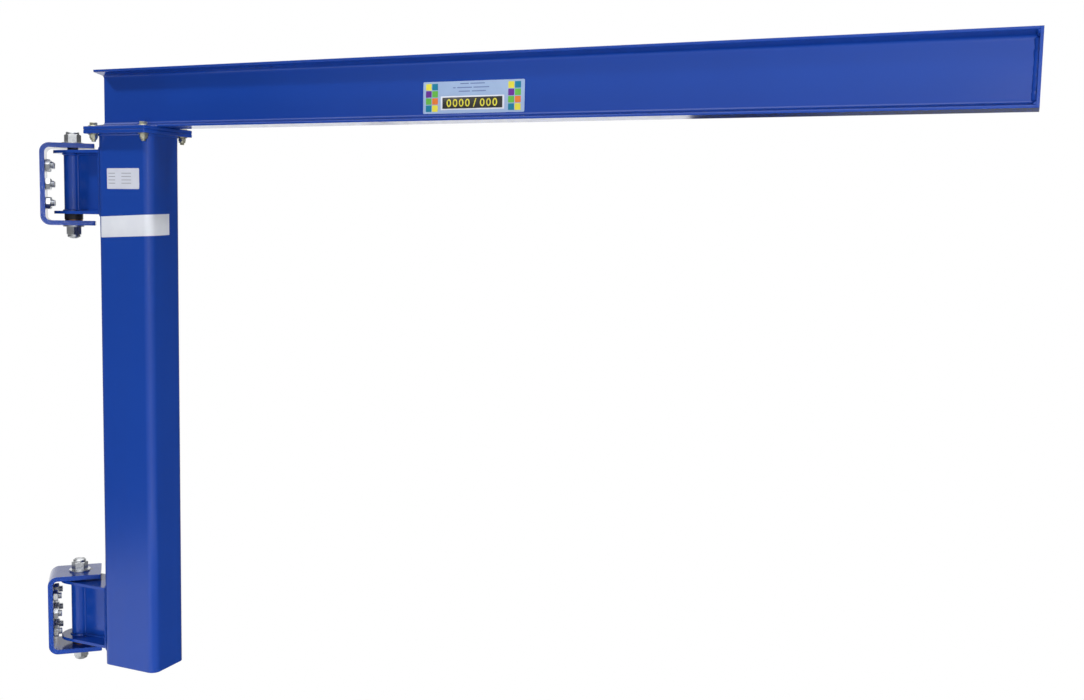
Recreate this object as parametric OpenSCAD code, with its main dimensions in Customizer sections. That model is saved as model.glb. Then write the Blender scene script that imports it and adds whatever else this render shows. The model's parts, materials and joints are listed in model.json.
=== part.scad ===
// Wall-mounted jib crane: an S-section boom bolted on a rectangular tube mast,
// which turns on two pivot studs held by C-shaped wall brackets.
// +Z is up and the wall is the plane y = 0. The brackets stand out of it towards -Y.
// The origin is the centre of the lower bracket's wall face.

/* [Boom beam] */
// Length of the boom, from its rear end to the outer face of the end plate
boom_l = 2300; // [1200:10:3600]
// Depth of the boom section
beam_h = 152.4; // [100:0.1:220]
// Width of the boom's flanges
flange_w = 84.6; // [60:0.1:110]
// Thickness of the boom's web
web_t = 5.9; // [4:0.1:9]
// Thickness of a flange at its toe
flange_toe_t = 5.8; // [4:0.1:9]
// Slope of the flange's inner face, as rise over run
flange_slope = 0.1667; // [0.1:0.001:0.2]
// Radius of the fillet between web and flange
root_r = 8; // [4:0.5:10]
// Radius of the flange's toe
toe_r = 3; // [1:0.5:4]
// Thickness of the plate that closes the free end
end_plate_t = 6.35; // [4:0.05:15]
// How far the boom's rear end stands behind the mast's centre
boom_overhang = 112; // [105:1:250]

/* [Mast] */
// Height of the mast tube
mast_h = 1443; // [1000:1:2200]
// Depth of the mast tube along the boom
mast_d = 177.8; // [130:0.1:190]
// Width of the mast tube across the boom
mast_w = 127; // [90:0.1:132]
// Wall of the mast tube
mast_wall = 9.5; // [4:0.1:14]
// Outer corner radius of the mast tube
mast_r = 22; // [15:0.5:35]
// Distance from the mast's lower end up to the lower bracket
mast_tail = 7; // [0:1:120]
// Distance from the upper bracket up to the mast's upper end
mast_head = 20; // [5:1:120]

/* [Joint plates] */
// Length of the joint plates along the boom
joint_l = 203.2; // [200:0.1:220]
// Width of the joint plates across the boom
joint_w = 190.5; // [180:0.1:220]
// Thickness of each joint plate
joint_t = 9.5; // [6:0.1:16]
// Spacing of the joint bolts along the boom
joint_bolt_x = 165; // [150:0.5:170]
// Spacing of the joint bolts across the boom
joint_bolt_y = 152.4; // [150:0.1:156]
// Diameter of the joint bolt holes
joint_hole_d = 14.3; // [12:0.1:18]

/* [Wall brackets] */
// Overall height of each bracket
bracket_h = 220.85; // [210:0.05:260]
// Width of each bracket along the wall
bracket_w = 114.3; // [102:0.1:140]
// Thickness of the bent bracket plate
bracket_t = 12.7; // [8:0.1:14]
// Reach of the bracket's legs from the wall
bracket_reach = 139.7; // [125:0.1:140]
// Inner radius of the bracket's bends
bend_r = 12.7; // [6:0.1:20]
// Corner radius at the ends of the legs
leg_corner_r = 5; // [2:0.5:15]
// Distance from the wall to the pivot axis
pivot_from_wall = 82.55; // [76:0.05:90]
// Spacing of the two columns of wall bolts
wall_bolt_x = 63.5; // [50:0.5:75]
// Spacing of the three rows of wall bolts
wall_bolt_z = 50.8; // [40:0.1:58]
// Diameter of the wall bolt holes
wall_hole_d = 20.6; // [16:0.1:24]

/* [Pivots] */
// Diameter of the pivot studs
stud_d = 25.4; // [20:0.1:27]
// Running clearance on the radius of the studs in their bushes
run_gap = 0.05; // [0.02:0.01:0.1]
// Clearance on the radius of the studs in the bracket legs
leg_gap = 0.4; // [0.2:0.1:1]
// Width across flats of the pivot nuts
nut_af = 38.1; // [36:0.1:42]
// Height of the nut's hexagon
nut_h = 22; // [16:0.5:26]
// Diameter of the locking collar on the nut
collar_d = 35; // [34:0.5:36]
// Height of the locking collar on the nut
collar_h = 7; // [5:0.5:10]
// Radius of the collar's rolled rim
collar_rim_r = 2.5; // [1:0.5:2.5]
// Depth of the recess in the collar for its locking ring
insert_depth = 2; // [1:0.5:4]
// Width of the locking ring that shows round the stud
insert_w = 1.6; // [1:0.1:1.8]
// Outer diameter of the pivot washers
washer_d = 57; // [44:0.5:60]
// Thickness of the pivot washers
washer_t = 4; // [2:0.5:6]
// Outer diameter of the thrust bearing ring
thrust_d = 48.8; // [44:0.1:60]
// Height of the thrust bearing ring
thrust_h = 15; // [8:0.5:20]
// Outer diameter of the bronze washer under the thrust ring
bronze_d = 46; // [40:0.5:60]
// Thickness of the bronze washer
bronze_t = 3; // [1:0.1:4]
// Wall of the spacer sleeve under a bracket's upper leg
spacer_wall = 1.2; // [1:0.1:8]
// How far a stud's lower end stands out of its nut
stud_tip = 3; // [0:0.5:20]
// Chamfer at both ends of a stud
stud_chamfer = 2; // [0.5:0.5:4]

/* [Knuckles] */
// Distance from the pivot axis to the mast's rear face
pivot_to_mast = 139; // [125:0.5:200]
// Radius of the knuckle plates' round end
knuckle_r = 50.8; // [40:0.1:55]
// Free height between a knuckle and its bracket's upper leg
knuckle_play = 6; // [5:0.5:12]
// Thickness of a knuckle plate
knuckle_t = 8; // [6:0.1:14]
// Thickness of the web between sleeve and mast
knuckle_web_t = 12.7; // [6:0.1:20]
// Outer diameter of the pivot sleeve
sleeve_d = 48.3; // [44:0.1:60]
// Outer diameter of the bush inside the sleeve
bush_d = 38.1; // [33:0.1:40]
// Thickness of the pad between knuckle and mast
pad_t = 6.35; // [3:0.05:12]

/* [Pose] */
// Swing of the boom at rest, away from straight out of the wall
rest_swing = 41.5; // [0:0.5:70]

/* [Hidden] */

$fn = 64;
blue = [0.11, 0.25, 0.58];
zinc = [0.78, 0.79, 0.78];
black = [0.07, 0.07, 0.08];
bronze = [0.62, 0.42, 0.2];
// Clearance on the radius between a bush and the sleeve and plates round it
press_gap = 0.02;
// Play between a spacer and the knuckle under it
spacer_gap = 0.3;
// Straight steps in each round toe and root of the boom's section
arc_steps = 8;
// Extra length of a cutting tool past each face
over = 1;
// Chamfer angle of the nut's corners
nut_chamfer = 30;
// Turn of the nuts above the brackets, which puts a flat where the others have a corner
top_nut_turn = 30;

// Middle heights of the brackets
lower_z = 0;
upper_z = mast_h - mast_tail - mast_head - bracket_h;
// Lower and upper end of the mast
mast_z0 = lower_z - bracket_h / 2 - mast_tail;
mast_z1 = mast_z0 + mast_h;
// Centre of the mast, measured from the pivot axis along the boom
mast_x = pivot_to_mast + mast_d / 2;
// Underside of the boom
boom_z = mast_z1 + 2 * joint_t;
boom_x = mast_x - boom_overhang;
// Underside of a knuckle and of its bracket's upper leg, from the bracket's middle
leg_top_z = -bracket_h / 2 + bracket_t;
knuckle_z0 = leg_top_z + bronze_t + thrust_h;
knuckle_z1 = bracket_h / 2 - bracket_t - knuckle_play;
knuckle_h = knuckle_z1 - knuckle_z0;
sleeve_h = knuckle_h - 2 * knuckle_t;
// Lower and upper end of a stud, from the bracket's middle
stud_z0 = -bracket_h / 2 - washer_t - nut_h - collar_h - stud_tip;
stud_z1 = bracket_h / 2 + washer_t + nut_h + collar_h;

// Puts its children on the pivot axis, with their +X along the boom at rest
module swung() {
    translate([0, -pivot_from_wall, 0]) rotate([0, 0, -90 - rest_swing]) children();
}

module on_pivot(z) {
    translate([0, -pivot_from_wall, z]) children();
}

// A plate or ring on the Z axis with a round hole
module ring(d, hole_d, h) {
    difference() {
        cylinder(d = d, h = h);
        translate([0, 0, -over]) cylinder(d = hole_d, h = h + 2 * over);
    }
}

// Rectangle with round corners, made of squares and circles
module round_rect(l, w, r) {
    square([l - 2 * r, w], center = true);
    square([l, w - 2 * r], center = true);
    for (x = [-1, 1], y = [-1, 1])
        translate([x * (l / 2 - r), y * (w / 2 - r)]) circle(r);
}

// Removes the square corner outside a radius r at the origin, on the +X +Y side
module corner_tool(r, h) {
    translate([-r, -r, 0]) difference() {
        cube([r + over, r + over, h]);
        translate([0, 0, -over]) cylinder(r = r, h = h + 2 * over);
    }
}

// Section of the bent bracket: x is the reach from the wall, y the height
module bracket_section() {
    outer_r = bend_r + bracket_t;
    difference() {
        union() {
            translate([outer_r, -bracket_h / 2]) square([bracket_reach - outer_r, bracket_h]);
            translate([0, outer_r - bracket_h / 2]) square([outer_r, bracket_h - 2 * outer_r]);
            for (y = [-1, 1]) translate([outer_r, y * (bracket_h / 2 - outer_r)]) circle(outer_r);
        }
        translate([outer_r, bracket_t - bracket_h / 2])
            square([bracket_reach, bracket_h - 2 * bracket_t]);
        translate([bracket_t, outer_r - bracket_h / 2]) square([bend_r + over, bracket_h - 2 * outer_r]);
        for (y = [-1, 1]) translate([outer_r, y * (bracket_h / 2 - outer_r)]) circle(bend_r);
    }
}

// C-shaped wall bracket, centred on its wall face
module wall_bracket() {
    difference() {
        rotate([90, 0, -90]) linear_extrude(height = bracket_w, center = true) bracket_section();
        for (x = [-1, 1], z = [-1, 0, 1])
            translate([x * wall_bolt_x / 2, over, z * wall_bolt_z])
                rotate([90, 0, 0]) cylinder(d = wall_hole_d, h = bracket_t + 2 * over);
        translate([0, -pivot_from_wall, -bracket_h / 2 - over])
            cylinder(r = stud_d / 2 + leg_gap, h = bracket_h + 2 * over);
        for (side = [0, 1]) mirror([side, 0, 0])
            translate([bracket_w / 2, -bracket_reach, -bracket_h / 2 - over])
                mirror([0, 1, 0]) corner_tool(leg_corner_r, bracket_h + 2 * over);
    }
}

module pivot_stud() {
    end_r = stud_d / 2 - stud_chamfer;
    rotate_extrude() polygon([[0, stud_z0], [end_r, stud_z0], [stud_d / 2, stud_z0 + stud_chamfer],
        [stud_d / 2, stud_z1 - stud_chamfer], [end_r, stud_z1], [0, stud_z1]]);
}

// Collar of a lock nut, with its upper rim rolled over
module nut_collar() {
    rim_x = collar_d / 2 - collar_rim_r;
    rim_y = collar_h - collar_rim_r;
    rotate_extrude() {
        square([rim_x, collar_h]);
        square([collar_d / 2, rim_y]);
        translate([rim_x, rim_y]) circle(collar_rim_r);
    }
}

// Lock nut standing on its washer face at z = 0, with its collar upwards and a recess for a locking ring
module lock_nut() {
    corner_r = nut_af / 2 / cos(30);
    drop = (corner_r - nut_af / 2) * tan(nut_chamfer);
    difference() {
        union() {
            intersection() {
                cylinder(r = corner_r, h = nut_h, $fn = 6);
                rotate_extrude() polygon([[0, 0], [nut_af / 2, 0], [corner_r, drop],
                    [corner_r, nut_h - drop], [nut_af / 2, nut_h], [0, nut_h]]);
            }
            translate([0, 0, nut_h]) nut_collar();
        }
        translate([0, 0, -over]) cylinder(r = stud_d / 2 + press_gap, h = nut_h + collar_h + 2 * over);
        translate([0, 0, nut_h + collar_h - insert_depth])
            cylinder(r = stud_d / 2 + insert_w, h = insert_depth + over);
    }
}

module top_nut() {
    translate([0, 0, bracket_h / 2 + washer_t]) rotate([0, 0, top_nut_turn]) lock_nut();
}

module bottom_nut() {
    mirror([0, 0, 1]) translate([0, 0, bracket_h / 2 + washer_t]) lock_nut();
}

module top_washer() {
    translate([0, 0, bracket_h / 2]) ring(washer_d, stud_d + 2 * leg_gap, washer_t);
}

module bottom_washer() {
    mirror([0, 0, 1]) top_washer();
}

module thrust_ring() {
    translate([0, 0, leg_top_z + bronze_t]) ring(thrust_d, stud_d + 2 * leg_gap, thrust_h);
}

module bronze_washer() {
    translate([0, 0, leg_top_z]) ring(bronze_d, stud_d + 2 * leg_gap, bronze_t);
}

module spacer_washer() {
    z0 = knuckle_z1 + spacer_gap;
    hole_d = stud_d + 2 * leg_gap;
    translate([0, 0, z0]) ring(hole_d + 2 * spacer_wall, hole_d, bracket_h / 2 - bracket_t - z0);
}

// Plate of a knuckle, round about the pivot and square at the mast
module knuckle_plate() {
    plate_l = pivot_to_mast - pad_t;
    difference() {
        union() {
            cylinder(r = knuckle_r, h = knuckle_t);
            translate([0, -knuckle_r, 0]) cube([plate_l, 2 * knuckle_r, knuckle_t]);
        }
        translate([0, 0, -over]) cylinder(r = bush_d / 2 + press_gap, h = knuckle_t + 2 * over);
    }
}

module knuckle_top_plate() {
    translate([0, 0, knuckle_z1 - knuckle_t]) knuckle_plate();
}

module knuckle_bottom_plate() {
    translate([0, 0, knuckle_z0]) knuckle_plate();
}

// Upright web from the sleeve to the pad
module knuckle_web() {
    z0 = knuckle_z0 + knuckle_t;
    difference() {
        translate([0, -knuckle_web_t / 2, z0]) cube([pivot_to_mast - pad_t, knuckle_web_t, sleeve_h]);
        translate([0, 0, z0 - over]) cylinder(r = sleeve_d / 2, h = sleeve_h + 2 * over);
    }
}

// Pad on the mast's rear face that carries the knuckle
module knuckle_pad() {
    translate([pivot_to_mast - pad_t, -knuckle_r, knuckle_z0]) cube([pad_t, 2 * knuckle_r, knuckle_h]);
}

module pivot_sleeve() {
    translate([0, 0, knuckle_z0 + knuckle_t]) ring(sleeve_d, bush_d + 2 * press_gap, sleeve_h);
}

module pivot_bush() {
    translate([0, 0, knuckle_z0]) ring(bush_d, stud_d + 2 * run_gap, knuckle_h);
}

module mast_tube() {
    color(blue) swung() translate([mast_x, 0, mast_z0]) difference() {
        linear_extrude(height = mast_h) round_rect(mast_d, mast_w, mast_r);
        translate([0, 0, -over]) linear_extrude(height = mast_h + 2 * over)
            round_rect(mast_d - 2 * mast_wall, mast_w - 2 * mast_wall, mast_r - mast_wall);
    }
}

// One of the two bolted plates between mast and boom
module joint_plate() {
    difference() {
        translate([-joint_l / 2, -joint_w / 2, 0]) cube([joint_l, joint_w, joint_t]);
        for (x = [-1, 1], y = [-1, 1])
            translate([x * joint_bolt_x / 2, y * joint_bolt_y / 2, -over])
                cylinder(d = joint_hole_d, h = joint_t + 2 * over);
    }
}

module mast_top_plate() {
    color(blue) swung() translate([mast_x, 0, mast_z1]) joint_plate();
}

module boom_base_plate() {
    color(blue) swung() translate([mast_x, 0, mast_z1 + joint_t]) joint_plate();
}

// Points on an arc about the centre c, from angle a0 to a1
function arc(c, r, a0, a1) =
    [for (i = [0:arc_steps]) c + r * [cos(a0 + (a1 - a0) * i / arc_steps), sin(a0 + (a1 - a0) * i / arc_steps)]];

// Thickness of a flange at a distance x from the web's middle
function flange_t(x) = flange_toe_t + (flange_w / 2 - x) * flange_slope;

// Outline of an upper right quarter of the boom's section, from the flange's corner to the web
function quarter_outline() =
    let (slope_angle = atan(flange_slope), toe_x = flange_w / 2 - toe_r, root_x = web_t / 2 + root_r,
        toe_c = [toe_x, beam_h / 2 - flange_t(toe_x) + toe_r / cos(slope_angle)],
        root_c = [root_x, beam_h / 2 - flange_t(root_x) - root_r / cos(slope_angle)])
    concat([[flange_w / 2, beam_h / 2]],
        arc(toe_c, toe_r, 0, slope_angle - 90), arc(root_c, root_r, slope_angle + 90, 180));

function flipped(points, x, y) = [for (p = points) [x * p[0], y * p[1]]];
function backwards(points) = [for (i = [len(points) - 1:-1:0]) points[i]];

// I section with sloped flanges and round toes and roots, standing on y = 0
module beam_section() {
    quarter = quarter_outline();
    translate([0, beam_h / 2]) polygon(concat(quarter, backwards(flipped(quarter, 1, -1)),
        flipped(quarter, -1, -1), backwards(flipped(quarter, -1, 1))));
}

module boom_beam() {
    color(blue) swung() translate([boom_x, 0, boom_z])
        rotate([90, 0, 90]) linear_extrude(height = boom_l - end_plate_t) beam_section();
}

module boom_end_plate() {
    color(blue) swung() translate([boom_x + boom_l - end_plate_t, -flange_w / 2, boom_z])
        cube([end_plate_t, flange_w, beam_h]);
}

module upper_wall_bracket() { color(blue) translate([0, 0, upper_z]) wall_bracket(); }
module lower_wall_bracket() { color(blue) translate([0, 0, lower_z]) wall_bracket(); }
module upper_pivot_stud() { color(zinc) on_pivot(upper_z) pivot_stud(); }
module lower_pivot_stud() { color(zinc) on_pivot(lower_z) pivot_stud(); }
module upper_pivot_top_nut() { color(zinc) on_pivot(upper_z) top_nut(); }
module upper_pivot_bottom_nut() { color(zinc) on_pivot(upper_z) bottom_nut(); }
module lower_pivot_top_nut() { color(zinc) on_pivot(lower_z) top_nut(); }
module lower_pivot_bottom_nut() { color(zinc) on_pivot(lower_z) bottom_nut(); }
module upper_pivot_top_washer() { color(zinc) on_pivot(upper_z) top_washer(); }
module upper_pivot_bottom_washer() { color(zinc) on_pivot(upper_z) bottom_washer(); }
module lower_pivot_top_washer() { color(zinc) on_pivot(lower_z) top_washer(); }
module lower_pivot_bottom_washer() { color(zinc) on_pivot(lower_z) bottom_washer(); }
module upper_thrust_ring() { color(black) on_pivot(upper_z) thrust_ring(); }
module lower_thrust_ring() { color(black) on_pivot(lower_z) thrust_ring(); }
module upper_bronze_washer() { color(bronze) on_pivot(upper_z) bronze_washer(); }
module lower_bronze_washer() { color(bronze) on_pivot(lower_z) bronze_washer(); }
module upper_spacer_washer() { color(black) on_pivot(upper_z) spacer_washer(); }
module lower_spacer_washer() { color(black) on_pivot(lower_z) spacer_washer(); }
module upper_knuckle_top_plate() { color(blue) swung() translate([0, 0, upper_z]) knuckle_top_plate(); }
module upper_knuckle_bottom_plate() { color(blue) swung() translate([0, 0, upper_z]) knuckle_bottom_plate(); }
module lower_knuckle_top_plate() { color(blue) swung() translate([0, 0, lower_z]) knuckle_top_plate(); }
module lower_knuckle_bottom_plate() { color(blue) swung() translate([0, 0, lower_z]) knuckle_bottom_plate(); }
module upper_knuckle_web() { color(blue) swung() translate([0, 0, upper_z]) knuckle_web(); }
module lower_knuckle_web() { color(blue) swung() translate([0, 0, lower_z]) knuckle_web(); }
module upper_knuckle_pad() { color(blue) swung() translate([0, 0, upper_z]) knuckle_pad(); }
module lower_knuckle_pad() { color(blue) swung() translate([0, 0, lower_z]) knuckle_pad(); }
module upper_pivot_sleeve() { color(blue) swung() translate([0, 0, upper_z]) pivot_sleeve(); }
module lower_pivot_sleeve() { color(blue) swung() translate([0, 0, lower_z]) pivot_sleeve(); }
module upper_pivot_bush() { color(bronze) swung() translate([0, 0, upper_z]) pivot_bush(); }
module lower_pivot_bush() { color(bronze) swung() translate([0, 0, lower_z]) pivot_bush(); }

upper_wall_bracket();
lower_wall_bracket();
upper_pivot_stud();
lower_pivot_stud();
upper_pivot_top_nut();
upper_pivot_bottom_nut();
lower_pivot_top_nut();
lower_pivot_bottom_nut();
upper_pivot_top_washer();
upper_pivot_bottom_washer();
lower_pivot_top_washer();
lower_pivot_bottom_washer();
upper_thrust_ring();
lower_thrust_ring();
upper_bronze_washer();
lower_bronze_washer();
upper_spacer_washer();
lower_spacer_washer();
upper_knuckle_top_plate();
upper_knuckle_bottom_plate();
lower_knuckle_top_plate();
lower_knuckle_bottom_plate();
upper_knuckle_web();
lower_knuckle_web();
upper_knuckle_pad();
lower_knuckle_pad();
upper_pivot_sleeve();
lower_pivot_sleeve();
upper_pivot_bush();
lower_pivot_bush();
mast_tube();
mast_top_plate();
boom_base_plate();
boom_beam();
boom_end_plate();
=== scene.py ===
"""Looks of a wall-mounted jib crane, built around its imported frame.

The row frame has +Z up and the wall at y = 0. Two working frames are used: WALL, the row frame itself,
for what is bolted to the wall, and SWING, with its origin on the pivot axis and +X along the boom.
"""

import json
import math

import bpy
import numpy as np
from mathutils import Matrix, Vector

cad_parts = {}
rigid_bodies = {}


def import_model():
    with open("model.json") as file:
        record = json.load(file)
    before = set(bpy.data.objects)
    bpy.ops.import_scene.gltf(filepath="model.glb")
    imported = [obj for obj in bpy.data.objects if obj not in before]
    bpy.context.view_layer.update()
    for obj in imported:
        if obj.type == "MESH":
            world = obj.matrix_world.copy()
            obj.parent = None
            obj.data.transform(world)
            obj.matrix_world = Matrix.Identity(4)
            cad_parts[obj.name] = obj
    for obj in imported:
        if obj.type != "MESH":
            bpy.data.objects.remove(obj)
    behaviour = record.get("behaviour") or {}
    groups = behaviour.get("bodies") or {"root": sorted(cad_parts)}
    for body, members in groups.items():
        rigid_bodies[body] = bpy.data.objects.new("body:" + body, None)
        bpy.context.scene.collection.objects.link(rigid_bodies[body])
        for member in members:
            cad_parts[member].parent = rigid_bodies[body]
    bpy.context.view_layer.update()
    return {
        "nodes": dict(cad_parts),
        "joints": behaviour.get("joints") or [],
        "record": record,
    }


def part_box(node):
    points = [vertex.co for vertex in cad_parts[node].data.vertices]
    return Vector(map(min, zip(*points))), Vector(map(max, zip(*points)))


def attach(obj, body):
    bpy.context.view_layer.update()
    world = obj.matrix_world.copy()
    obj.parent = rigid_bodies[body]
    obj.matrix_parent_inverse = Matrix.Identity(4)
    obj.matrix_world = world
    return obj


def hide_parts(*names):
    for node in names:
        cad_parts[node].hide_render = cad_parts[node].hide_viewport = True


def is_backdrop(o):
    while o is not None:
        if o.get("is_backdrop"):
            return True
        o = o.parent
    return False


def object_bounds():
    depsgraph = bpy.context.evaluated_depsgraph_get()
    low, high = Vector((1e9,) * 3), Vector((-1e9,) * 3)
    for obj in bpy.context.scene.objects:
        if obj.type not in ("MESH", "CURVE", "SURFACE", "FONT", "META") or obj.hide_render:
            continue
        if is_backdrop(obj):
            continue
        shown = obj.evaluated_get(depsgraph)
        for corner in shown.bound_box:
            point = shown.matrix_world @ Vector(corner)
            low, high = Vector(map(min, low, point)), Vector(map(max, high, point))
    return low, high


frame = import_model()

MM = 0.001
INCH = 25.4 * MM
X, Y, Z = np.eye(3)
WALL_BODY, SWING_BODY = frame["joints"][0]["parent"], frame["joints"][0]["child"]
random = np.random.default_rng(11)


# ---------------------------------------------------------------- frames and sizes

def middle(node):
    """Middle of a CAD node's box."""
    low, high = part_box(node)
    return (low + high) / 2


PIVOT = Vector(frame["joints"][0]["pos_m"])
BOOM_WAY = middle("boom_end_plate") - PIVOT
BOOM_ANGLE = math.atan2(BOOM_WAY.y, BOOM_WAY.x)
WALL = Matrix.Identity(4)
SWING = Matrix.Translation((PIVOT.x, PIVOT.y, 0)) @ Matrix.Rotation(BOOM_ANGLE, 4, "Z")

# sizes that the frame doesn't give: the mast's corner, the bracket's plate and half of the beam's web
MAST_CORNER, BRACKET_T, WEB_HALF = 22 * MM, 12.7 * MM, 2.95 * MM


def box_in(place, node):
    """Lowest and highest corner of a CAD node, measured in a working frame."""
    inverse = place.inverted()
    points = np.array([inverse @ v.co for v in frame["nodes"][node].data.vertices])
    return points.min(0), points.max(0)


def mount(name):
    """A mount of the record, by its name."""
    return next(m for m in frame["record"]["mounts"] if m["name"] == name)


# ---------------------------------------------------------------- materials

def new_material(name):
    """A material, its node tree and its Principled shader."""
    material = bpy.data.materials.new(name)
    material.use_nodes = True
    tree = material.node_tree
    return material, tree, tree.nodes["Principled BSDF"]


def add_node(tree, kind, **values):
    """A node with its properties or input sockets set by name."""
    node = tree.nodes.new(kind)
    for key, value in values.items():
        name = key.replace("_", " ").title()
        if name in node.inputs:
            node.inputs[name].default_value = value
        else:
            setattr(node, key, value)
    return node


def math_node(tree, operation, *values):
    """Math on sockets or numbers."""
    node = add_node(tree, "ShaderNodeMath", operation=operation)
    for socket, value in zip(node.inputs, values):
        if isinstance(value, (int, float)):
            socket.default_value = value
        else:
            tree.links.new(value, socket)
    return node.outputs[0]


def mixed(tree, share, first, second):
    """Shader that passes from the first to the second as share goes from 0 to 1."""
    mix = tree.nodes.new("ShaderNodeMixShader")
    for socket, value in zip(mix.inputs, (share, first, second)):
        tree.links.new(value, socket)
    return mix.outputs["Shader"]


def object_noise(tree, scale, detail, stretch=(1, 1, 1), turn=0.0):
    """Noise in the object's own coordinates, turned about Z and scaled along each axis."""
    where = tree.nodes.new("ShaderNodeTexCoord")
    mapping = add_node(tree, "ShaderNodeMapping", vector_type="TEXTURE")
    mapping.inputs["Rotation"].default_value = (0, 0, turn)
    mapping.inputs["Scale"].default_value = stretch
    noise = add_node(tree, "ShaderNodeTexNoise", scale=scale, detail=detail)
    tree.links.new(where.outputs["Object"], mapping.inputs["Vector"])
    tree.links.new(mapping.outputs["Vector"], noise.inputs["Vector"])
    return noise.outputs["Fac"]


def ramp(tree, value, *colours, at=(0.35, 0.65)):
    """Blends from colour to colour as value passes the positions in at."""
    node = tree.nodes.new("ShaderNodeValToRGB")
    elements = node.color_ramp.elements
    while len(elements) < len(at):
        elements.new(1)
    for element, position, colour in zip(elements, at, colours):
        element.position = position
        element.color = colour
    tree.links.new(value, node.inputs["Fac"])
    return node.outputs["Color"]


def grey(level):
    return (level, level, level, 1)


def bump(tree, height, strength, distance, normal=None):
    node = add_node(tree, "ShaderNodeBump", strength=strength, distance=distance)
    tree.links.new(height, node.inputs["Height"])
    if normal is not None:
        tree.links.new(normal, node.inputs["Normal"])
    return node.outputs["Normal"]


def soft_edges(tree, radius):
    """Normal that rounds sharp edges to a radius."""
    node = add_node(tree, "ShaderNodeBevel", samples=6, radius=radius)
    return node.outputs["Normal"]


# the enamel: two close blues, the roughness of its glossiest and dullest spots, and its orange peel
BLUE, PALER_BLUE = (0.0058, 0.042, 0.274, 1), (0.0066, 0.047, 0.298, 1)
GLOSSIEST, DULLEST = 0.13, 0.19
PEEL_SCALE, PEEL_STRENGTH, PEEL_DEPTH = 420.0, 0.10, 0.06 * MM

# strength and depth of the fine marks on metal, on turned plastic and on printed film
SCRATCHES, TURNED_LINES, MOTTLE = (0.15, 0.05 * MM), (0.2, 0.05 * MM), (0.08, 0.1 * MM)


def paint(name, wave, turn=0.0, drawn=(1, 1, 1), edge=1.0 * MM):
    """Gloss enamel with a slight orange peel, over steel that keeps the waves of its rolling. wave is their
    depth, drawn stretches them along each axis after a turn about Z, and edge is the radius of its edges."""
    material, tree, shader = new_material(name)
    tint = object_noise(tree, scale=3.0, detail=4.0)
    tree.links.new(ramp(tree, tint, BLUE, PALER_BLUE, at=(0.2, 0.8)), shader.inputs["Base Color"])
    gloss = object_noise(tree, scale=40.0, detail=5.0)
    tree.links.new(ramp(tree, gloss, grey(GLOSSIEST), grey(DULLEST)), shader.inputs["Roughness"])
    rolled = object_noise(tree, scale=14.0, detail=2.0, stretch=drawn, turn=turn)
    waves = bump(tree, rolled, 1.0, wave, soft_edges(tree, edge))
    grain = object_noise(tree, scale=PEEL_SCALE, detail=1.0)
    peel = bump(tree, grain, PEEL_STRENGTH, PEEL_DEPTH, waves)
    tree.links.new(peel, shader.inputs["Normal"])
    return material


def plated(name, colour, stained, rough=(0.20, 0.38)):
    """Zinc plate or bronze: fine scratches, faint stains and softened edges."""
    material, tree, shader = new_material(name)
    stain = object_noise(tree, scale=90.0, detail=6.0)
    tree.links.new(ramp(tree, stain, colour, stained), shader.inputs["Base Color"])
    shader.inputs["Metallic"].default_value = 1.0
    scratch = object_noise(tree, scale=700.0, detail=3.0, stretch=(1, 1, 0.15))
    tree.links.new(ramp(tree, scratch, grey(rough[0]), grey(rough[1])), shader.inputs["Roughness"])
    normal = bump(tree, scratch, *SCRATCHES, soft_edges(tree, radius=0.6 * MM))
    tree.links.new(normal, shader.inputs["Normal"])
    return material


def moulded(name, colour, lighter, roughness=0.45):
    """Dense plastic with a turned surface."""
    material, tree, shader = new_material(name)
    tone = object_noise(tree, scale=60.0, detail=4.0)
    tree.links.new(ramp(tree, tone, colour, lighter), shader.inputs["Base Color"])
    shader.inputs["Roughness"].default_value = roughness
    lines = object_noise(tree, scale=900.0, detail=2.0, stretch=(8, 8, 1))
    normal = bump(tree, lines, *TURNED_LINES, soft_edges(tree, radius=0.5 * MM))
    tree.links.new(normal, shader.inputs["Normal"])
    return material


def printed(name, colour, shade):
    """Printed film or thin plate with a faint mottle."""
    material, tree, shader = new_material(name)
    tone = object_noise(tree, scale=25.0, detail=5.0)
    tree.links.new(ramp(tree, tone, shade, colour), shader.inputs["Base Color"])
    shader.inputs["Roughness"].default_value = 0.32
    shader.inputs["Coat Weight"].default_value = 0.3
    shader.inputs["Coat Roughness"].default_value = 0.15
    film = object_noise(tree, scale=160.0, detail=2.0)
    tree.links.new(bump(tree, film, *MOTTLE), shader.inputs["Normal"])
    return material


MAST_PAINT = paint("mast_paint", turn=BOOM_ANGLE, drawn=(0.7, 0.7, 12), wave=1.8 * MM)
BOOM_PAINT = paint("boom_paint", turn=BOOM_ANGLE, drawn=(12, 0.8, 0.8), wave=0.3 * MM, edge=2.2 * MM)
PLATE_PAINT = paint("plate_paint", wave=0.1 * MM)
WELD_PAINT = paint("weld_paint", wave=0.05 * MM)
ZINC = plated("zinc", (0.78, 0.80, 0.82, 1), (0.62, 0.64, 0.66, 1))
YELLOW_ZINC = plated("yellow_zinc", (0.80, 0.80, 0.64, 1), (0.62, 0.61, 0.46, 1))
BRONZE = plated("bronze", (0.50, 0.27, 0.12, 1), (0.36, 0.18, 0.08, 1), rough=(0.30, 0.45))
BLACK = moulded("bearing_black", (0.012, 0.012, 0.014, 1), (0.022, 0.022, 0.026, 1))
NYLON = moulded("nylon", (0.55, 0.56, 0.55, 1), (0.66, 0.67, 0.66, 1), roughness=0.4)


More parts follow.
